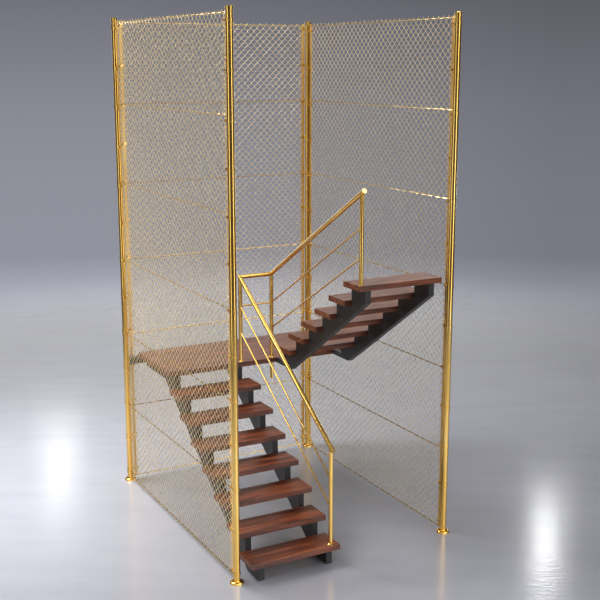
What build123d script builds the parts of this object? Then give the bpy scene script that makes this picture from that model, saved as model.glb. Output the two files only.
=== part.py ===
"""Half-turn staircase in a tall wire-fenced cage that is open at the front.

A lower flight climbs away from the open side, a landing turns it round, and an upper flight climbs
back. Timber treads sit on pairs of saw-tooth steel stringers, and a tube railing follows the well.
Lengths are in millimetres. While the pieces are made, x and y are measured from the axis of the
front left post; the last section moves the origin to the middle of the footprint, on the floor.
"""
from build123d import *
import math
import os

# Steps
riser = 180
going = 265
lower_steps = 7
upper_steps = 6
tread_length = 880
tread_depth = 285
tread_thickness = 50
edge_chamfer = 3

# Cage posts, on a rectangle
post_span_x = 2200
post_span_y = 2720
total_height = 4880
post_radius = 30
base_flange_radius = 62
base_flange_height = 25
base_flange_rim = 11
base_flange_neck = 42
base_flange_bulge = 4
cap_radius = 33.5
cap_dome_height = 11
cap_skirt = 24

# Places of the flights inside the cage
left_margin = 110
right_margin = 90
first_tread_front = -95
last_tread_front = 10
landing_depth = 880

# Stringers: box sections under the treads
stringer_width = 58
stringer_inset = 70
nosing = 30
throat = 99
arm_depth = 100
top_end_setback = 20

# Cross bearer under the back edge of the landing, tied to the back posts
bearer_width = 100
bearer_height = 60
bearer_wall = 4
bearer_end_gap = 10
bearer_behind_landing = 60

# Railing along the well
handrail_radius = 21
rail_post_radius = 20
mid_rail_radius = 8
rail_flange_radius = 31
rail_flange_height = 6
rail_inset_lower = 70
rail_inset_upper = 45
rail_post_setback = 55
handrail_height_first = 920
handrail_height_landing = 880
handrail_height_last = 815
handrail_overhang = 40
mid_rail_drops = (300, 570)
tail_length = 180

# Fence on the left, back and right
bar_offset = 60
bar_width = 30
bar_thickness = 6
bar_bottom = 28
bar_top = 4845
fabric_bottom = 25
fabric_top = 4855
fabric_thickness = 8
strand_width = 12
fabric_cells_high = 9
fabric_cells_side = 5
fabric_cells_back = 4
wire_size = 12
wire_first = 45
wire_spacing = 797
wire_count = 7
band_first = 90
band_spacing = 390
band_count = 13
band_height = 22
band_ear = 8
corner_band_lift = 30

# Worked-out places
slope = riser / going
landing_level = (lower_steps + 1) * riser
landing_front = first_tread_front + lower_steps * going
landing_back = landing_front + landing_depth
lower_left = left_margin
lower_right = lower_left + tread_length
upper_right = post_span_x - right_margin
upper_left = upper_right - tread_length
bearer_front = landing_back + bearer_behind_landing - bearer_width
rail_lower_x = lower_right - rail_inset_lower
rail_upper_x = upper_left + rail_inset_upper
rail_post_first_y = first_tread_front + rail_post_setback
rail_post_landing_y = landing_front + rail_post_setback
rail_post_last_y = last_tread_front + rail_post_setback
well_corner_level = landing_level + handrail_height_landing


def seat(level):
    """Height of a tread's underside, counted in risers from the floor."""
    return level * riser - tread_thickness


def lower_front(step):
    """Front edge of a lower tread, which faces the open side."""
    return first_tread_front + (step - 1) * going


def upper_front(step):
    """Edge of an upper tread that faces the open side; its nosing is at the other edge."""
    return last_tread_front + (upper_steps - step) * going


def disc(radius, bottom, top, x=0.0, y=0.0):
    """Upright cylinder between two heights."""
    return Pos(x, y, bottom) * extrude(Circle(radius), top - bottom)


def rod(start, end, radius):
    """Round bar from one point to another."""
    axis = Vector(*end) - Vector(*start)
    return extrude(Plane(origin=start, z_dir=axis) * Circle(radius), axis.length)


def board(x0, x1, y0, y1, top):
    """Timber board with its four long top and bottom edges eased."""
    box = Pos((x0 + x1) / 2, (y0 + y1) / 2, top - tread_thickness / 2) * Box(x1 - x0, y1 - y0, tread_thickness)
    return chamfer(box.edges().filter_by(Axis.X), edge_chamfer)


def plate_along_y(points, x0, width):
    """Solid with the outline given as (y, z) points, from x0 to x0 + width."""
    outline = make_face(Polyline(*[(x0, y, z) for y, z in points], close=True))
    return extrude(outline, width, dir=(1, 0, 0))


def lower_treads():
    """Seven boards that climb away from the open side."""
    return {
        f"lower_tread_{step}": board(
            lower_left, lower_right, lower_front(step), lower_front(step) + tread_depth, step * riser)
        for step in range(1, lower_steps + 1)
    }


def upper_treads():
    """Six boards that climb back towards the open side."""
    return {
        f"upper_tread_{step}": board(
            upper_left, upper_right, upper_front(step), upper_front(step) + tread_depth,
            landing_level + step * riser)
        for step in range(1, upper_steps + 1)
    }


def lower_outline():
    """Saw-tooth outline that stands on the floor and runs on as an arm under the landing."""
    riser_faces = [lower_front(step) + nosing for step in range(1, lower_steps + 2)]
    points = [(riser_faces[0], 0)]
    for step, face in enumerate(riser_faces, start=1):
        if step > 1:
            points.append((face, seat(step - 1)))
        points.append((face, seat(step)))
    arm_top = seat(lower_steps + 1)
    underside_at_first_face = seat(0) - throat
    heel = riser_faces[0] - underside_at_first_face / slope
    knee = riser_faces[0] + (arm_top - arm_depth - underside_at_first_face) / slope
    points += [(bearer_front, arm_top), (bearer_front, arm_top - arm_depth), (knee, arm_top - arm_depth)]
    return points + [(heel, 0)]


def upper_outline():
    """Saw-tooth outline that butts on the landing's front edge and ends plumb at the upper floor."""
    riser_faces = [upper_front(step) + tread_depth - nosing for step in range(1, upper_steps + 1)]
    points = [(landing_front, landing_level)]
    level = landing_level
    for step, face in enumerate(riser_faces, start=1):
        points.append((face, level))
        level = seat(lower_steps + 1 + step)
        points.append((face, level))
    end_face = last_tread_front + top_end_setback
    end_bottom = level - riser - throat + slope * (riser_faces[-1] - end_face)
    landing_underside = landing_level - tread_thickness
    tip = end_face + (end_bottom - landing_underside) / slope
    return points + [
        (end_face, level), (end_face, end_bottom), (tip, landing_underside),
        (landing_front, landing_underside)]


def stringers():
    """Two stringers under each flight, set in from the treads' ends."""
    pieces = {}
    for flight, outline, left, right in (
            ("lower", lower_outline(), lower_left, lower_right),
            ("upper", upper_outline(), upper_left, upper_right)):
        pieces[f"{flight}_stringer_left"] = plate_along_y(outline, left + stringer_inset, stringer_width)
        pieces[f"{flight}_stringer_right"] = plate_along_y(
            outline, right - stringer_inset - stringer_width, stringer_width)
    return pieces


def landing_bearer():
    """Box section across the back, with its ends shaped to the two back posts."""
    length = post_span_x - 2 * bearer_end_gap
    outer = Box(length, bearer_width, bearer_height)
    hollow = Box(length, bearer_width - 2 * bearer_wall, bearer_height - 2 * bearer_wall)
    middle = (post_span_x / 2, bearer_front + bearer_width / 2, seat(lower_steps + 1) - bearer_height / 2)
    beam = Pos(*middle) * (outer - hollow)
    for x in (0, post_span_x):
        beam -= disc(post_radius, 0, total_height, x, post_span_y)
    return beam


def handrail_path():
    """Corners of the handrail's axis, from its lower end to its upper end."""
    rise_lower = well_corner_level - riser - handrail_height_first
    slope_lower = rise_lower / (rail_post_landing_y - rail_post_first_y)
    last_level = (lower_steps + 1 + upper_steps) * riser + handrail_height_last
    slope_upper = (last_level - well_corner_level) / (rail_post_landing_y - rail_post_last_y)
    low_end_level = riser + handrail_height_first - slope_lower * handrail_overhang
    top_end_level = last_level + slope_upper * handrail_overhang
    return [
        Vector(rail_lower_x, rail_post_first_y - handrail_overhang, low_end_level),
        Vector(rail_lower_x, rail_post_landing_y, well_corner_level),
        Vector(rail_upper_x, rail_post_landing_y, well_corner_level),
        Vector(rail_upper_x, rail_post_last_y - handrail_overhang, top_end_level),
    ]


def mitred_runs():
    """Round bars along the handrail's path, cut where they meet so that they close on each other."""
    path = handrail_path()
    directions = [(end - start).normalized() for start, end in zip(path, path[1:])]
    runs = []
    for index, direction in enumerate(directions):
        start, end = path[index], path[index + 1]
        first, last = index == 0, index == len(directions) - 1
        overlap = direction * 3 * handrail_radius
        bar = rod(start if first else start - overlap, end if last else end + overlap, handrail_radius)
        if not first:
            bar = split(bar, Plane(origin=start, z_dir=directions[index - 1] + direction), Keep.TOP)
        if not last:
            bar = split(bar, Plane(origin=end, z_dir=direction + directions[index + 1]), Keep.BOTTOM)
        runs.append(bar)
    return runs


def rail_point(x, y, drop=0.0):
    """Point on the handrail's axis above a place in plan, or the given distance below it."""
    path = handrail_path()
    start, end = (path[0], path[1]) if x == rail_lower_x else (path[3], path[2])
    share = (y - start.Y) / (end.Y - start.Y)
    return (x, y, start.Z + share * (end.Z - start.Z) - drop)


def rail_posts():
    """Four round posts, coped to the underside of the handrail, and the tail below the landing."""
    handrail = mitred_runs()
    feet = {
        "rail_post_first": (rail_lower_x, rail_post_first_y, riser),
        "rail_post_landing_left": (rail_lower_x, rail_post_landing_y, landing_level),
        "rail_post_landing_right": (rail_upper_x, rail_post_landing_y, landing_level),
        "rail_post_last": (rail_upper_x, rail_post_last_y, landing_level + upper_steps * riser),
    }
    pieces = {}
    flanges = []
    for name, (x, y, level) in feet.items():
        post = disc(rail_post_radius, level + rail_flange_height, rail_point(x, y)[2], x, y)
        for run in handrail:
            post -= run
        pieces[name] = post
        flanges.append(Pos(x, y, level) * rail_flange())
    pieces["rail_post_flanges"] = flanges
    tail_top = landing_level - tread_thickness
    tail = disc(rail_post_radius, tail_top - tail_length, tail_top, rail_upper_x, rail_post_landing_y)
    pieces["rail_post_landing_right"] = [pieces["rail_post_landing_right"], tail]
    return pieces


def rail_flange():
    """Low round foot under a rail post."""
    profile = Polyline(
        (0, 0), (rail_flange_radius, 0), (rail_post_radius + 2, rail_flange_height),
        (0, rail_flange_height), close=True)
    return revolve(Plane.XZ * make_face(profile), Axis.Z)


def handrails():
    """Three runs of the handrail, which is a tube with closed ends."""
    names = ("handrail_lower", "handrail_landing", "handrail_upper")
    return dict(zip(names, mitred_runs()))


def mid_rails():
    """Rods between the rail posts: two along each flight and one across the well."""
    def between(x0, y0, x1, y1, drop):
        bar = rod(rail_point(x0, y0, drop), rail_point(x1, y1, drop), mid_rail_radius)
        for x, y in ((x0, y0), (x1, y1)):
            bar -= disc(rail_post_radius, 0, total_height, x, y)
        return bar
    lower = [between(rail_lower_x, rail_post_first_y, rail_lower_x, rail_post_landing_y, drop)
             for drop in mid_rail_drops]
    upper = [between(rail_upper_x, rail_post_last_y, rail_upper_x, rail_post_landing_y, drop)
             for drop in mid_rail_drops]
    across = between(rail_lower_x, rail_post_landing_y, rail_upper_x, rail_post_landing_y, mid_rail_drops[0])
    return {"mid_rails_lower": lower, "mid_rails_upper": upper, "mid_rail_landing": across}


def post_places():
    """Axes of the four cage posts."""
    return {
        "front_left": (0, 0), "back_left": (0, post_span_y),
        "back_right": (post_span_x, post_span_y), "front_right": (post_span_x, 0),
    }


def post_flange():
    """Domed round foot that the post stands on."""
    foot = Vector(base_flange_radius, base_flange_rim)
    neck = Vector(base_flange_neck, base_flange_height)
    outward = (foot - neck).rotate(Axis.Z, 90).normalized()
    dome = ThreePointArc(foot, (foot + neck) / 2 + outward * base_flange_bulge, neck)
    rest = Polyline(
        neck, (0, base_flange_height), (0, 0), (base_flange_radius, 0), foot)
    return revolve(Plane.XZ * make_face(dome + rest), Axis.Z)


def post_cap():
    """Domed cap a little wider than the post, on its upper end."""
    rim_level = total_height - cap_dome_height
    ball = (cap_radius**2 + cap_dome_height**2) / (2 * cap_dome_height)
    half_turn = math.asin(cap_radius / ball) / 2
    crown = (ball * math.sin(half_turn), total_height - ball * (1 - math.cos(half_turn)))
    dome = ThreePointArc((0, total_height), crown, (cap_radius, rim_level))
    rest = Polyline(
        (cap_radius, rim_level), (cap_radius, rim_level - cap_skirt),
        (0, rim_level - cap_skirt), (0, total_height))
    return revolve(Plane.XZ * make_face(dome + rest), Axis.Z)


def cage_posts():
    """Four posts, which are tubes closed by their feet and caps."""
    post_top = total_height - cap_dome_height - cap_skirt
    pieces = {
        f"cage_post_{name}": disc(post_radius, base_flange_height, post_top, x, y)
        for name, (x, y) in post_places().items()
    }
    pieces["post_caps"] = [Pos(x, y) * post_cap() for x, y in post_places().values()]
    pieces["post_flanges"] = [Pos(x, y) * post_flange() for x, y in post_places().values()]
    return pieces


def panels():
    """Fence panels: start post, compass turn of the panel's length, length, cells, band lift."""
    return {
        "left": ((0, 0), 90, post_span_y, fabric_cells_side, 0),
        "back": ((0, post_span_y), 0, post_span_x, fabric_cells_back, corner_band_lift),
        "right": ((post_span_x, 0), 90, post_span_y, fabric_cells_side, 0),
    }


def fabric(length, cells):
    """Diamond lattice that stands for the woven wire, between the two tension bars."""
    reach = bar_offset + bar_width / 2
    width, height = length - 2 * reach, fabric_top - fabric_bottom
    cell_w, cell_h = width / cells, height / fabric_cells_high
    hole_w = cell_w - strand_width * math.hypot(cell_w, cell_h) / cell_h
    hole_h = hole_w * cell_h / cell_w
    hole = Polygon((hole_w / 2, 0), (0, hole_h / 2), (-hole_w / 2, 0), (0, -hole_h / 2), align=None)
    holes = []
    for row in range(2 * fabric_cells_high + 1):
        for column in range(row % 2, 2 * cells + 1, 2):
            holes.append(Pos(column * cell_w / 2, row * cell_h / 2) * hole)
    sheet = Rectangle(width, height, align=Align.MIN) - holes
    upright = Plane(origin=(reach, fabric_thickness / 2, fabric_bottom), x_dir=(1, 0, 0), z_dir=(0, -1, 0))
    return extrude(upright * sheet, fabric_thickness)


def tension_band():
    """Ear of a band, from the round of the post to the tension bar that it grips."""
    ear_end = bar_offset - bar_width / 2
    ear = Pos(ear_end / 2, 0, 0) * Box(ear_end, band_ear, band_height)
    return ear - disc(post_radius, -band_height, band_height)


def line_wire(length, offset, level):
    """Square wire from the round of one post to the round of the next."""
    wire = Pos(length / 2, offset, level) * Box(length, wire_size, wire_size)
    for x in (0, length):
        wire -= disc(post_radius, level - wire_size, level + wire_size, x, 0)
    return wire


def fence():
    """Tension bars, bands, line wires and fabric of the three panels."""
    pieces = {}
    for name, (start, turn, length, cells, lift) in panels().items():
        place = Pos(*start) * Rot(0, 0, turn)
        inward = 1 if name == "right" else -1
        bar = Pos(0, 0, (bar_bottom + bar_top) / 2) * Box(bar_width, bar_thickness, bar_top - bar_bottom)
        band = tension_band()
        bands = []
        for index in range(band_count):
            level = band_first + lift + index * band_spacing
            bands.append(place * Pos(0, 0, level) * band)
            bands.append(place * Pos(length, 0, level) * Rot(0, 0, 180) * band)
        wire_offset = inward * (fabric_thickness + wire_size) / 2
        wires = [place * line_wire(length, wire_offset, wire_first + index * wire_spacing)
                 for index in range(wire_count)]
        pieces[f"tension_bars_{name}"] = [place * Pos(x) * bar for x in (bar_offset, length - bar_offset)]
        pieces[f"tension_bands_{name}"] = bands
        pieces[f"line_wires_{name}"] = wires
        pieces[f"fence_fabric_{name}"] = place * fabric(length, cells)
    return pieces


def all_pieces():
    """Every piece by name; a list holds like pieces that don't touch."""
    pieces = {}
    for group in (lower_treads(), upper_treads(), stringers(), rail_posts(), handrails(), mid_rails(),
                  cage_posts(), fence()):
        pieces.update(group)
    pieces["landing"] = board(lower_left, upper_right, landing_front, landing_back, landing_level)
    pieces["landing_bearer"] = landing_bearer()
    return pieces


# Middle of the footprint: the first tread reaches furthest forward, the back feet furthest back
front_reach = -first_tread_front
back_reach = post_span_y + base_flange_radius
to_middle = Pos(-post_span_x / 2, (front_reach - back_reach) / 2, 0)

os.makedirs("parts", exist_ok=True)
for node, piece in all_pieces().items():
    solids = piece if isinstance(piece, list) else [piece]
    moved = [to_middle * solid for solid in solids]
    export_step(moved[0] if len(moved) == 1 else Compound(moved), f"parts/{node}.step")
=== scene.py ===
import math

import bmesh
import bpy
import numpy as np
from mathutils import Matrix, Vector


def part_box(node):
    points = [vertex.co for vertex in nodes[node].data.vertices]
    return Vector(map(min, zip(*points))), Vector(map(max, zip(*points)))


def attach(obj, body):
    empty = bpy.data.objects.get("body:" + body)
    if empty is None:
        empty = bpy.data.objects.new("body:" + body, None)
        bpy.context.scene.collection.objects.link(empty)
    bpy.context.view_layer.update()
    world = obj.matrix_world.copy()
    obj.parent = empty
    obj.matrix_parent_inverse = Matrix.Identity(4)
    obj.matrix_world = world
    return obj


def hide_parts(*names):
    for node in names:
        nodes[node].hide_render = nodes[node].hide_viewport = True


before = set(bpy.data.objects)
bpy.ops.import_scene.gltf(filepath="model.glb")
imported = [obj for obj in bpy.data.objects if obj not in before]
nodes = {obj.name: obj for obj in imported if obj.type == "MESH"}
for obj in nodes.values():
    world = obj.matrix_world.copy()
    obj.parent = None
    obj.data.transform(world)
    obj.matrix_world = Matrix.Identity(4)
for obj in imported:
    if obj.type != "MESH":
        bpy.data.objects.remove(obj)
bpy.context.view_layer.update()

# Camera, at the photo's angle
camera_pitch = 0.2181
camera_turn = 0.497
camera = bpy.data.objects.new("camera", bpy.data.cameras.new("camera"))
bpy.context.scene.collection.objects.link(camera)
camera.location = (-4.7316, -9.1943, 4.4455)
camera.rotation_euler = (math.pi / 2 - camera_pitch, 0, -camera_turn)
camera.data.sensor_width = 36
camera.data.lens = 64.45
camera.data.clip_end = 200
bpy.context.scene.camera = camera


class Tree:
    """Short way to add shader nodes and link them."""

    def __init__(self, owner):
        owner.use_nodes = True
        self.tree = owner.node_tree
        self.tree.nodes.clear()

    def add(self, kind, inputs=None, **settings):
        node = self.tree.nodes.new(kind)
        for name, value in settings.items():
            setattr(node, name, value)
        for name, value in (inputs or {}).items():
            self.put(node, name, value)
        return node

    def put(self, node, name, value):
        socket = node.inputs[name]
        if isinstance(value, bpy.types.NodeSocket):
            self.tree.links.new(value, socket)
        elif isinstance(value, bpy.types.Node):
            self.tree.links.new(value.outputs[0], socket)
        else:
            socket.default_value = value

    def scaled(self, vector, scale, location=(0, 0, 0)):
        return self.add("ShaderNodeMapping", {"Vector": vector, "Scale": scale, "Location": location})

    def coordinates(self, scale, location=(0, 0, 0)):
        place = self.add("ShaderNodeTexCoord")
        return self.scaled(place.outputs["Object"], scale, location)

    def texture(self, vector, detail, roughness):
        return self.add("ShaderNodeTexNoise", {
            "Vector": vector, "Scale": 1.0, "Detail": detail, "Roughness": roughness}).outputs["Fac"]

    def noise(self, scale, detail, roughness, location=(0, 0, 0)):
        """Noise between 0 and 1 with its own size along each axis."""
        return self.texture(self.coordinates(scale, location), detail, roughness)

    def ramp(self, value, stops):
        node = self.add("ShaderNodeValToRGB", {"Fac": value})
        points = node.color_ramp.elements
        while len(points) < len(stops):
            points.new(0.5)
        for point, (place, color) in zip(points, stops):
            point.position = place
            point.color = (*color, 1) if isinstance(color, tuple) else (color, color, color, 1)
        return node.outputs["Color"]

    def math(self, operation, first, second=0.0):
        return self.add("ShaderNodeMath", {0: first, 1: second}, operation=operation).outputs[0]

    def span(self, value, low, high, to_low, to_high, smooth=False):
        """Value mapped from low..high to to_low..to_high, and held at the ends."""
        node = self.add("ShaderNodeMapRange", {
            "Value": value, "From Min": low, "From Max": high, "To Min": to_low, "To Max": to_high},
            interpolation_type="SMOOTHSTEP" if smooth else "LINEAR")
        return node.outputs[0]

    def mix(self, share, first, second, blend="MIX"):
        share_input, first_input, second_input, color_output = 0, 6, 7, 2
        node = self.add("ShaderNodeMix", {share_input: share}, data_type="RGBA", blend_type=blend)
        for index, color in ((first_input, first), (second_input, second)):
            self.put(node, index, (*color, 1) if isinstance(color, tuple) else color)
        return node.outputs[color_output]

    def dot(self, vector, axis):
        """How far a vector points along an axis."""
        return self.add("ShaderNodeVectorMath", {0: vector, 1: axis},
                        operation="DOT_PRODUCT").outputs["Value"]

    def bump(self, height, strength, distance):
        return self.add("ShaderNodeBump", {
            "Height": height, "Strength": strength, "Distance": distance}).outputs["Normal"]

    def finish(self, shader, kind="ShaderNodeOutputMaterial"):
        self.add(kind, {"Surface": shader})


def brass(name, colors, roughness, streak):
    """Drawn brass: long faint streaks, slow tone changes, and a few dull patches."""
    material = bpy.data.materials.new(name)
    tree = Tree(material)
    slow = tree.noise((3.0, 3.0, 1.2), 3.0, 0.5)
    tone = tree.ramp(slow, [(0.3, colors[0]), (0.55, colors[1]), (0.8, colors[2])])
    fine = tree.noise(streak, 5.0, 0.6)
    color = tree.mix(tree.span(fine, 0.35, 0.75, 0.0, 0.35), tone, colors[0])
    dull = tree.noise((9.0, 9.0, 5.0), 6.0, 0.65, (4.1, 0.7, 2.3))
    rough = tree.math("ADD", tree.span(dull, 0.35, 0.75, roughness[0], roughness[1]),
                      tree.span(fine, 0.3, 0.7, 0.0, 0.03))
    tree.finish(tree.add("ShaderNodeBsdfPrincipled", {
        "Base Color": color, "Metallic": 1.0, "Roughness": rough,
        "Coat Weight": 0.2, "Coat Roughness": 0.12,
        "Normal": tree.bump(fine, 0.02, 0.0004)}))
    return material


def drawn_wire(name):
    """Pale golden drawn wire, a little uneven in tone and gloss."""
    material = bpy.data.materials.new(name)
    tree = Tree(material)
    tone = tree.ramp(tree.noise((30.0, 30.0, 30.0), 3.0, 0.6), [
        (0.3, (0.56, 0.43, 0.22)), (0.55, (0.84, 0.69, 0.41)), (0.8, (0.95, 0.85, 0.60))])
    rough = tree.span(tree.noise((80.0, 80.0, 80.0), 2.0, 0.5, (1.7, 0.2, 0.4)),
                      0.3, 0.7, 0.34, 0.44)
    tree.finish(tree.add("ShaderNodeBsdfPrincipled", {
        "Base Color": tone, "Metallic": 1.0, "Roughness": rough, "IOR": 1.5}))
    return material


def timber(name):
    """Dark reddish-brown hardwood with its grain along X under a satin lacquer."""
    material = bpy.data.materials.new(name)
    tree = Tree(material)
    warp = tree.noise((1.1, 5.0, 5.0), 2.0, 0.5)
    sway = tree.add("ShaderNodeCombineXYZ", {"Y": tree.span(warp, 0.2, 0.8, -1.4, 1.4)})
    wavy = tree.add("ShaderNodeVectorMath", {0: tree.coordinates((1.5, 30.0, 30.0)), 1: sway},
                    operation="ADD")
    tone = tree.ramp(tree.texture(wavy, 6.0, 0.62), [
        (0.32, (0.040, 0.010, 0.004)), (0.45, (0.145, 0.036, 0.014)),
        (0.56, (0.320, 0.082, 0.030)), (0.72, (0.530, 0.165, 0.066))])
    mottle = tree.noise((2.2, 9.0, 9.0), 4.0, 0.6, (5.0, 1.0, 2.0))
    tone = tree.mix(tree.span(mottle, 0.36, 0.60, 0.35, 0.0), tone, (0.100, 0.028, 0.012))
    fibre = tree.noise((5.0, 210.0, 210.0), 3.0, 0.7, (0.3, 0.1, 0.7))
    color = tree.mix(tree.span(fibre, 0.35, 0.7, 0.40, 0.0), tone, (0.075, 0.023, 0.012))
    pores = tree.noise((14.0, 480.0, 480.0), 2.0, 0.5, (2.0, 0.4, 0.9))
    color = tree.mix(tree.span(pores, 0.62, 0.70, 0.0, 0.6), color, (0.020, 0.007, 0.004))
    wear = tree.noise((3.0, 4.0, 4.0), 5.0, 0.6, (7.0, 3.0, 1.0))
    rough = tree.math("ADD", tree.span(wear, 0.3, 0.7, 0.27, 0.40),
                      tree.span(fibre, 0.3, 0.7, 0.06, 0.0))
    relief = tree.math("ADD", fibre, tree.math("MULTIPLY", pores, 0.6))
    tree.finish(tree.add("ShaderNodeBsdfPrincipled", {
        "Base Color": color, "Roughness": rough, "IOR": 1.5,
        "Coat Weight": 0.08, "Coat Roughness": 0.22,
        "Normal": tree.bump(relief, 0.10, 0.002)}))
    return material


def steel(name):
    """Charcoal satin paint with a fine grain and slightly rubbed patches."""
    material = bpy.data.materials.new(name)
    tree = Tree(material)
    slow = tree.noise((2.5, 2.5, 2.5), 5.0, 0.6)
    color = tree.ramp(slow, [
        (0.3, (0.013, 0.013, 0.014)), (0.55, (0.020, 0.021, 0.023)), (0.8, (0.034, 0.036, 0.040))])
    grain = tree.noise((420.0, 420.0, 420.0), 2.0, 0.5)
    rough = tree.math("ADD", tree.span(slow, 0.3, 0.7, 0.34, 0.50),
                      tree.span(grain, 0.3, 0.7, -0.03, 0.03))
    tree.finish(tree.add("ShaderNodeBsdfPrincipled", {
        "Base Color": color, "Roughness": rough, "IOR": 1.5,
        "Normal": tree.bump(grain, 0.10, 0.0006)}))
    return material


gold = ((0.72, 0.42, 0.085), (0.86, 0.56, 0.15), (0.94, 0.69, 0.25))
pale_gold = ((0.76, 0.53, 0.20), (0.89, 0.68, 0.30), (0.96, 0.80, 0.45))
upright_brass = brass("upright_brass", gold, (0.12, 0.17), (260.0, 260.0, 1.0))
rail_brass = brass("rail_brass", gold, (0.12, 0.17), (90.0, 20.0, 90.0))
wire_brass = drawn_wire("wire_brass")
fitting_brass = brass("fitting_brass", gold, (0.18, 0.28), (120.0, 120.0, 120.0))
rope_brass = brass("rope_brass", pale_gold, (0.16, 0.26), (120.0, 120.0, 120.0))
bar_brass = brass("bar_brass", gold, (0.40, 0.52), (140.0, 140.0, 6.0))
wood = timber("tread_timber")
paint = steel("charcoal_paint")

for name, node in nodes.items():
    if node.type != "MESH":
        continue
    kind = node.material_slots[0].material.name if node.material_slots else ""
    if kind.startswith("timber"):
        chosen = wood
    elif kind.startswith("dark_steel"):
        chosen = paint
    elif name.startswith(("handrail", "mid_rail")):
        chosen = rail_brass
    elif name.startswith("tension_bar"):
        chosen = bar_brass
    else:
        chosen = upright_brass
    for slot in node.material_slots:
        slot.material = chosen


def piece(name, verts, faces, material, slot, replaced, sharp=math.radians(40)):
    """A new mesh that rides on the root body and stands for the CAD nodes in replaced, if any."""
    mesh = bpy.data.meshes.new(name)
    mesh.from_pydata(np.asarray(verts).tolist(), [], [tuple(face) for face in faces])
    mesh.materials.append(material)
    mesh.polygons.foreach_set("use_smooth", np.ones(len(mesh.polygons), dtype=bool))
    if sharp:
        mesh.set_sharp_from_angle(angle=sharp)
    mesh.update()
    made = bpy.data.objects.new(name, mesh)
    bpy.context.scene.collection.objects.link(made)
    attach(made, "root")
    if replaced:
        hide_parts(*replaced)
    return made


def outward(made):
    """Turns every face of a closed mesh to the outside."""
    work = bmesh.new()
    work.from_mesh(made.data)
    bmesh.ops.recalc_face_normals(work, faces=work.faces)
    work.to_mesh(made.data)
    work.free()


def gather(parts):
    """Joins (verts, faces) parts into one list of each."""
    verts, faces, start = [], [], 0
    for part_verts, part_faces in parts:
        part_verts = np.asarray(part_verts, dtype=float).reshape(-1, 3)
        verts.append(part_verts)
        faces += [tuple(index + start for index in face) for face in part_faces]
        start += len(part_verts)
    return np.concatenate(verts), faces


def unit(vectors):
    return vectors / np.maximum(np.linalg.norm(vectors, axis=-1, keepdims=True), 1e-12)


def tubes(paths, radius, sides, across):
    """Round wires along paths of shape (wires, points, 3).

    across is a direction that the paths never follow.
    """
    count, length = paths.shape[:2]
    tangent = np.empty_like(paths)
    tangent[:, 1:-1] = unit(paths[:, 2:] - paths[:, 1:-1]) + unit(paths[:, 1:-1] - paths[:, :-2])
    tangent[:, 0] = paths[:, 1] - paths[:, 0]
    tangent[:, -1] = paths[:, -1] - paths[:, -2]
    tangent = unit(tangent)
    side = unit(np.cross(np.asarray(across, dtype=float), tangent))
    other = np.cross(tangent, side)
    turn = np.arange(sides) * 2 * math.pi / sides
    radii = np.broadcast_to(np.asarray(radius, dtype=float), (count, length))[..., None, None]
    rings = paths[:, :, None] + radii * (
        np.cos(turn)[:, None] * side[:, :, None] + np.sin(turn)[:, None] * other[:, :, None])
    index = np.arange(count * length * sides).reshape(count, length, sides)
    here, there = index[:, :-1], index[:, 1:]
    faces = np.stack([here, np.roll(here, -1, 2), np.roll(there, -1, 2), there], -1)
    return rings.reshape(-1, 3), faces.reshape(-1, 4)


def lathe(profile, sides):
    """Round part about Z from (radius, height) points, closed at both ends."""
    turn = np.arange(sides) * 2 * math.pi / sides
    verts = [(radius * math.cos(angle), radius * math.sin(angle), height)
             for radius, height in profile for angle in turn]
    faces = []
    for ring in range(len(profile) - 1):
        for k in range(sides):
            a, b = ring * sides + k, ring * sides + (k + 1) % sides
            faces.append((a, b, b + sides, a + sides))
    faces.append(tuple(reversed(range(sides))))
    faces.append(tuple(range((len(profile) - 1) * sides, len(profile) * sides)))
    return np.array(verts), faces


def middle(name):
    low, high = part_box(name)
    return (np.asarray(low) + np.asarray(high)) / 2


# Each panel runs from its first post to its second. Then come the direction to the stairs, the
# number of wires in its mesh, and how much higher its bands sit.
posts = {name: middle(f"cage_post_{name}") for name in
         ("front_left", "back_left", "back_right", "front_right")}
panels = {
    "left": (posts["front_left"], posts["back_left"], np.array([1.0, 0, 0]), 66, 0.0),
    "back": (posts["back_left"], posts["back_right"], np.array([0, -1.0, 0]), 56, 0.03),
    "right": (posts["front_right"], posts["back_right"], np.array([-1.0, 0, 0]), 66, 0.0),
}
post_radius = 0.030

# Woven wire
mesh_start = 0.060
mesh_bottom = 0.025
mesh_top = 4.834
half_turns = 134
wire_radius = 0.0023
wire_sides = 5
turn_rise = 0.0022
edge_clearance = 0.0032

# Line wires
line_wire_count = 7
line_wire_offset = 0.0100
line_wire_margin = 0.006
strand_radius = 0.0031
strand_lay = 0.22
strand_sides = 6

# Lacing round the tension bars
lacing_middle = 0.076
lacing_half_width = 0.030
lacing_half_depth = 0.0088
lacing_pitch = 0.034
lacing_radius = 0.0021

# Bands
band_first = 0.09
band_spacing = 0.39
band_count = 13
band_bolt_place = 0.0818

# Levels of the feet of the railing posts
first_tread_level = 0.18
landing_level = 1.44
last_tread_level = 2.52


def to_frame(panel, points):
    """Points as (along the panel, towards the stairs, up) in the object's frame."""
    start, end, inward = panels[panel][:3]
    along = unit((end - start) * np.array([1, 1, 0]))
    points = np.asarray(points, dtype=float)
    origin = np.array([start[0], start[1], 0])
    return (origin + points[..., 0:1] * along + points[..., 1:2] * inward
            + points[..., 2:3] * np.array([0, 0, 1.0]))


def panel_length(panel):
    start, end = panels[panel][:2]
    return float(np.linalg.norm((end - start)[:2]))


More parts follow.
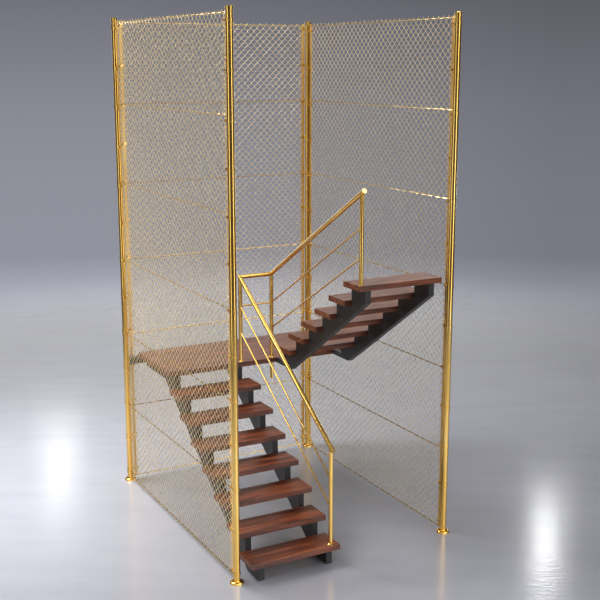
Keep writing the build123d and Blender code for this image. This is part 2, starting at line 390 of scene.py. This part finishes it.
def woven(panel):
    """Zigzag wires, each turned round its two neighbours, with twisted ends along the top."""
    inward, pickets = panels[panel][2:4]
    pitch = (panel_length(panel) - 2 * mesh_start) / pickets
    rise = (mesh_top - mesh_bottom) / half_turns
    depth, reach = wire_radius + 0.0003, wire_radius * 1.2
    picket = np.arange(pickets)[:, None]
    turn = np.arange(half_turns + 1)[None, :]
    right = (turn + picket) % 2
    along = mesh_start + (picket + right) * pitch + np.where(right == 1, reach, -reach)
    level = mesh_bottom + turn * rise + 0 * picket
    # A wire leaves a left turn on the stair side and a right turn on the outer side
    leaving = np.where(right == 1, -depth, depth)
    # The two outermost wires pass clear of the tension bars
    outer = np.zeros_like(along)
    outer[0] = np.where(right[0] == 0, edge_clearance, 0)
    outer[-1] = np.where(right[-1] == 1, edge_clearance, 0)
    leaving = leaving + np.sign(leaving) * outer
    before = np.stack([along, -leaving, level - turn_rise], -1)
    after = np.stack([along, leaving, level + turn_rise], -1)
    paths = np.stack([before, after], 2).reshape(pickets, -1, 3)[:, 1:-1]

    # Where two neighbours meet at the top, their ends wind on each other and lean apart
    ends = []
    for index in range(pickets - 1):
        if (half_turns + index) % 2 == 1:
            meeting = mesh_start + (index + 1) * pitch
            for phase in (0.0, math.pi):
                angle = phase + np.linspace(0, 2.6 * math.pi, 6)
                rise_to = mesh_top - 0.003 + np.linspace(0, 0.014, 6)
                twist = np.stack([meeting - wire_radius * np.cos(angle),
                                  wire_radius * np.sin(angle), rise_to], -1)
                lean = -math.cos(angle[-1])
                tip = [meeting + 0.005 * lean, 0.001, mesh_top + 0.010]
                ends.append(np.concatenate([twist, [tip]]))
    ends = np.array(ends)
    taper = np.full(ends.shape[:2], wire_radius)
    taper[:, -1] = 0.0006
    across = to_frame(panel, [1, 0.3, 0]) - to_frame(panel, [0, 0, 0])
    return gather([tubes(to_frame(panel, paths), wire_radius, wire_sides, inward),
                   tubes(to_frame(panel, ends), taper, wire_sides, across)])


def twisted(panel):
    """Line wires of two strands wound on each other, on the stair side of the mesh."""
    low, high = (np.asarray(corner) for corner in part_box(f"line_wires_{panel}"))
    length = panel_length(panel)
    levels = np.linspace(low[2] + line_wire_margin, high[2] - line_wire_margin, line_wire_count)
    steps = int(length / strand_lay * 12)
    along = np.linspace(post_radius - 0.002, length - post_radius + 0.002, steps)
    paths = []
    for index, level in enumerate(levels):
        for phase in (0, math.pi):
            angle = along / strand_lay * 2 * math.pi + phase + index * 1.3
            paths.append(np.stack([along, line_wire_offset + strand_radius * np.cos(angle),
                                   level + strand_radius * np.sin(angle)], -1))
    return tubes(to_frame(panel, np.array(paths)), strand_radius, strand_sides, (0, 0, 1))


def lacing(panel):
    """Flat spiral of wire at each end, which ties the mesh to its tension bar."""
    turns = int((mesh_top - mesh_bottom) / lacing_pitch)
    angle = np.linspace(0, 2 * math.pi * turns, 10 * turns + 1)
    level = np.linspace(mesh_bottom + 0.03, mesh_top - 0.01, len(angle))
    along = lacing_middle + lacing_half_width * np.cos(angle)
    depth = lacing_half_depth * np.sin(angle)
    near = np.stack([along, depth, level], -1)
    far = np.stack([panel_length(panel) - along, depth, level], -1)
    return tubes(to_frame(panel, np.array([near, far])), lacing_radius, wire_sides, (0, 0, 1))


def bolt():
    """Round-headed bolt along Z, its head up, with a six-sided nut at the other end."""
    head = lathe([(0.0085, 0.0068), (0.0085, 0.0080), (0.0070, 0.0108), (0.0038, 0.0124)], 12)
    shank = lathe([(0.0038, -0.0185), (0.0040, -0.0177), (0.0040, 0.0070)], 10)
    nut = lathe([(0.0074, -0.0138), (0.0080, -0.0132), (0.0080, -0.0074), (0.0074, -0.0068)], 6)
    return gather([head, shank, nut])


def strap():
    """Thin band round the post whose two ears lie on both sides of the tension bar."""
    radius, thick, height = post_radius + 0.0019, 0.0036, 0.023
    ear, ear_end = 0.0052, 0.0880
    opening = math.asin((ear + 0.0050) / radius)
    round_part = [(radius * math.cos(angle), radius * math.sin(angle))
                  for angle in np.linspace(opening, 2 * math.pi - opening, 27)]
    one_ear = [(ear_end, ear), (0.062, ear), (0.0400, ear + 0.0006), (0.0345, ear + 0.0022)]
    path = np.array(one_ear + round_part + [(x, -y) for x, y in reversed(one_ear)])
    tangent = unit(np.gradient(path, axis=0))
    normal = np.stack([tangent[:, 1], -tangent[:, 0]], -1)
    outer, inner = path - normal * thick / 2, path + normal * thick / 2
    verts = []
    for a, b in zip(outer, inner):
        verts += [(*a, height / 2), (*b, height / 2), (*b, -height / 2), (*a, -height / 2)]
    faces = []
    for index in range(len(path) - 1):
        start = 4 * index
        for k in range(4):
            a, b = start + k, start + (k + 1) % 4
            faces.append((a, b, b + 4, a + 4))
    faces.append((3, 2, 1, 0))
    last = 4 * (len(path) - 1)
    faces.append((last, last + 1, last + 2, last + 3))
    return np.array(verts), faces


def bands(panel):
    """Bands with their bolts at both ends of a panel."""
    lift = panels[panel][4]
    length = panel_length(panel)
    bolt_verts, bolt_faces = bolt()
    lying = np.stack([bolt_verts[:, 0] + band_bolt_place, bolt_verts[:, 2], bolt_verts[:, 1]], -1)
    verts, faces = gather([strap(), (lying, bolt_faces)])
    parts = []
    for index in range(band_count):
        level = np.array([0, 0, band_first + lift + band_spacing * index])
        mirrored = verts * np.array([-1, 1, 1]) + np.array([length, 0, 0])
        parts.append((to_frame(panel, verts + level), faces))
        parts.append((to_frame(panel, mirrored + level), faces))
    return gather(parts)


def screws():
    """Four small screws in each foot of the railing posts."""
    circle_radius, foot_top = 0.0265, 0.0025
    head_verts, head_faces = lathe([(0.0034, 0.0), (0.0034, 0.0012), (0.0026, 0.0024),
                                    (0.0012, 0.0029)], 10)
    feet = {"rail_post_first": first_tread_level, "rail_post_landing_left": landing_level,
            "rail_post_landing_right": landing_level, "rail_post_last": last_tread_level}
    parts = []
    for name, level in feet.items():
        x, y, _ = middle(name)
        for k in range(4):
            angle = math.pi / 4 + k * math.pi / 2
            place = np.array([x + circle_radius * math.cos(angle),
                              y + circle_radius * math.sin(angle), level + foot_top])
            parts.append((head_verts + place, head_faces))
    return gather(parts)


for panel in panels:
    piece(f"chain_link_{panel}", *woven(panel), wire_brass, "brass_wire",
          [f"fence_fabric_{panel}"], sharp=None)
for panel in panels:
    piece(f"twisted_wires_{panel}", *twisted(panel), rope_brass, "brass_wire",
          [f"line_wires_{panel}"])
for panel in panels:
    piece(f"edge_lacing_{panel}", *lacing(panel), bar_brass, "brass_wire", [], sharp=None)
for panel in panels:
    outward(piece(f"post_bands_{panel}", *bands(panel), fitting_brass, "polished_brass",
                  [f"tension_bands_{panel}"]))
outward(piece("rail_foot_screws", *screws(), fitting_brass, "polished_brass", []))

# Floor and backdrop
floor_radius = 14
floor_sides = 96
fade_start = 7.0
fade_end = 13.0


def floor_material():
    """Pale lacquered floor with a faint brushed grain, which fades out into the backdrop."""
    material = bpy.data.materials.new("studio_floor")
    tree = Tree(material)
    place = tree.add("ShaderNodeTexCoord").outputs["Object"]
    far = tree.add("ShaderNodeVectorMath", {0: place}, operation="LENGTH").outputs["Value"]
    turned = tree.add("ShaderNodeVectorRotate", {"Vector": place, "Angle": camera_turn},
                      rotation_type="Z_AXIS")
    strokes = tree.texture(tree.scaled(turned, (4.5, 34.0, 1.0)), 5.0, 0.6)
    cloud = tree.texture(tree.scaled(turned, (0.9, 4.0, 1.0)), 3.0, 0.5)
    brushed = tree.bump(strokes, 0.6, 0.0032)
    surface = tree.add("ShaderNodeBsdfPrincipled", {
        "Base Color": tree.mix(tree.span(cloud, 0.35, 0.65, 0.0, 1.0),
                               (0.375, 0.380, 0.430), (0.405, 0.410, 0.460)),
        "Roughness": 0.36, "IOR": 1.5, "Normal": brushed,
        "Coat Weight": 0.9, "Coat Roughness": 0.14, "Coat IOR": 1.7, "Coat Normal": brushed})
    through = tree.add("ShaderNodeBsdfTransparent")
    tree.finish(tree.add("ShaderNodeMixShader", {
        0: tree.span(far, fade_start, fade_end, 0.0, 1.0, smooth=True), 1: surface, 2: through}))
    return material


edge = np.linspace(0, 2 * math.pi, floor_sides, endpoint=False)
floor_mesh = bpy.data.meshes.new("studio_floor")
floor_mesh.from_pydata(
    [(floor_radius * math.cos(angle), floor_radius * math.sin(angle), 0) for angle in edge],
    [], [tuple(range(floor_sides))])
floor_mesh.materials.append(floor_material())
floor = bpy.data.objects.new("studio_floor", floor_mesh)
bpy.context.scene.collection.objects.link(floor)

# World: what the camera sees, what lights the object softly, and what metal mirrors
world = bpy.data.worlds.new("studio")
bpy.context.scene.world = world
tree = Tree(world)
direction = tree.add("ShaderNodeTexCoord").outputs["Generated"]
height = tree.add("ShaderNodeSeparateXYZ", {"Vector": direction}).outputs["Z"]

backdrop = tree.ramp(tree.span(height, -0.25, 0.10, 0.0, 1.0), [
    (0.0, (0.440, 0.450, 0.520)), (0.12, (0.400, 0.410, 0.480)), (0.22, (0.270, 0.278, 0.325)),
    (0.40, (0.262, 0.270, 0.315)), (0.60, (0.235, 0.240, 0.280)), (0.9, (0.150, 0.152, 0.180))])
darker_right = tree.span(tree.dot(direction, (0.879, -0.477, 0)), -0.17, 0.23, 1.05, 0.70)
seen = tree.add("ShaderNodeBackground", {"Color": backdrop, "Strength": darker_right})

sky = tree.ramp(height, [
    (0.0, (0.12, 0.12, 0.13)), (0.3, (0.17, 0.17, 0.18)), (1.0, (0.46, 0.47, 0.49))])
soft = tree.add("ShaderNodeBackground", {"Color": sky, "Strength": 1.0})

ceiling = tree.ramp(height, [(0.0, 0.09), (0.3, 0.10), (0.7, 0.18), (1.0, 0.40)])
behind = tree.math("MULTIPLY",
                   tree.span(tree.dot(direction, (0.34, 0.94, 0)), 0.82, 0.97, 0.0, 1.8),
                   tree.span(tree.math("ABSOLUTE", height), 0.12, 0.30, 1.0, 0.0))
window_height = tree.math("MULTIPLY", tree.span(height, 0.22, 0.32, 0.0, 1.0),
                          tree.span(height, 0.50, 0.62, 1.0, 0.0))
in_front = tree.math("MULTIPLY",
                     tree.span(tree.dot(direction, (0.10, -0.995, 0)), 0.30, 0.70, 0.0, 2.6),
                     window_height)
glow = tree.mix(1.0, tree.mix(1.0, ceiling, behind, "ADD"), in_front, "ADD")
mirrored = tree.add("ShaderNodeBackground", {"Color": glow, "Strength": 1.0})

rays = tree.add("ShaderNodeLightPath").outputs
lit = tree.add("ShaderNodeMixShader", {0: rays["Is Glossy Ray"], 1: soft, 2: mirrored})
tree.finish(tree.add("ShaderNodeMixShader", {0: rays["Is Camera Ray"], 1: lit, 2: seen}),
            "ShaderNodeOutputWorld")


def softbox(name, place, target, width, height, radiance, spread=180):
    """Area lamp at place that faces target, unseen by the camera."""
    lamp = bpy.data.lights.new(name, "AREA")
    lamp.spread = math.radians(spread)
    lamp.shape = "RECTANGLE"
    lamp.size, lamp.size_y = width, height
    lamp.energy = radiance * math.pi * width * height
    made = bpy.data.objects.new(name, lamp)
    made.location = place
    made.rotation_euler = (Vector(target) - Vector(place)).to_track_quat("-Z", "Y").to_euler()
    made.visible_camera = False
    bpy.context.scene.collection.objects.link(made)


softbox("key_strip", (2.0, -7.0, 3.0), (0, 0, 2.2), 1.5, 5.0, 3.6)
softbox("left_fill", (-6.8, -2.2, 3.0), (0, 0, 2.2), 1.8, 5.0, 2.2)
softbox("top_strip", (-3.0, 3.6, 8.4), (-0.4, 1.0, 2.0), 1.8, 4.5, 19.0)
softbox("overhead", (1.9, 0.5, 8.2), (0.5, 0, 2), 1.5, 2.5, 3.2)
softbox("right_top", (3.8, -4.6, 8.3), (0.6, -1.5, 3.3), 1.6, 1.6, 6.0)
softbox("left_floor", (-4.8, 2.4, 4.6), (-2.6, 1.8, 0), 4.0, 4.0, 3.0, 86)
softbox("front_floor", (-0.8, -4.4, 1.6), (-0.9, -3.8, 0), 2.4, 1.0, 2.6, 90)

# These four are mirrored in the floor as the two bright pools
softbox("back_left_strip", (-0.24, 7.42, 2.10), (-1.7, 2.0, 0), 0.36, 0.7, 2.2)
softbox("back_left_glow", (-0.20, 7.50, 2.10), (-1.7, 2.0, 0), 0.8, 1.7, 0.75)
softbox("back_right_strip", (5.52, 2.08, 2.62), (1.85, -1.96, 0), 0.30, 0.9, 8.0)
softbox("back_right_glow", (5.58, 2.12, 2.62), (1.85, -1.96, 0), 0.7, 1.7, 1.3)

scene = bpy.context.scene
scene.view_settings.view_transform = "Standard"
